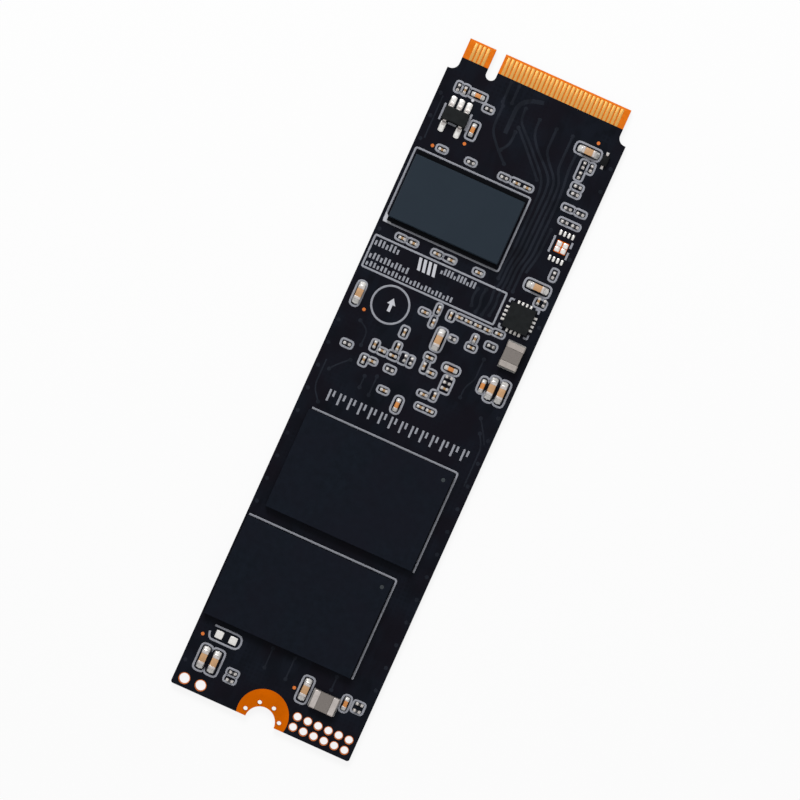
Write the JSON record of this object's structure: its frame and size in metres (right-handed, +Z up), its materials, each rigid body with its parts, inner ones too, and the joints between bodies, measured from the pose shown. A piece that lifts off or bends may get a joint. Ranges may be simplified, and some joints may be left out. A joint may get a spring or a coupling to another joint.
{
  "type": "m.2 solid-state drive",
  "caption": "Narrow single-sided storage card on a black circuit board, with a gold edge connector at one end, a half-round screw seat at the other, and a controller and memory chips on top.",
  "frame": {"origin": "middle of the board's underside", "axes": "+Y along the board to the edge connector, +X to the right seen from the component side, +Z up through the components"},
  "size_m": [0.022, 0.08, 0.0021],
  "materials": {
    "solder_mask": "satin, near-black blue",
    "bare_copper": "bare, orange",
    "contact_gold": "gold plated, polished",
    "solder": "bright, slightly uneven",
    "package_substrate": "satin",
    "controller_mould": "smooth satin, blue-grey",
    "flash_mould": "fine matte",
    "small_mould": "matte",
    "tinned_lead": "tinned, satin",
    "inductor_core": "matte, grainy",
    "plated_end": "tin plated, satin",
    "capacitor_ceramic": "fired ceramic",
    "resistor_glaze": "glazed"
  },
  "bodies": {
    "root": {"circuit_board": "solder_mask", "mounting_pad": "bare_copper", "edge_contacts_top": "contact_gold", "edge_contacts_bottom": "contact_gold", "header_sleeves": "bare_copper", "supply_sleeves": "bare_copper", "test_points": "bare_copper", "blank_footprint_pads": "solder", "blank_centre_pad": "bare_copper", "blank_centre_solder": "solder", "spare_pads": "solder", "controller_balls": "solder", "controller_substrate": "package_substrate", "controller_cap": "controller_mould", "flash_a_balls": "solder", "flash_a_substrate": "package_substrate", "flash_a_mould": "flash_mould", "flash_b_balls": "solder", "flash_b_substrate": "package_substrate", "flash_b_mould": "flash_mould", "regulator_body": "small_mould", "regulator_leads": "tinned_lead", "power_manager_body": "small_mould", "power_manager_pads": "tinned_lead", "inductor_a_core": "inductor_core", "inductor_a_ends": "plated_end", "inductor_b_core": "inductor_core", "inductor_b_ends": "plated_end", "large_capacitor_bodies": "capacitor_ceramic", "large_capacitor_ends": "plated_end", "medium_capacitor_bodies": "capacitor_ceramic", "medium_capacitor_ends": "plated_end", "small_capacitor_bodies": "capacitor_ceramic", "small_capacitor_ends": "plated_end", "small_resistor_bodies": "resistor_glaze", "small_resistor_ends": "plated_end", "diode_body": "small_mould", "diode_leads": "tinned_lead", "solder_joints": "solder"}
  },
  "joints": []
}
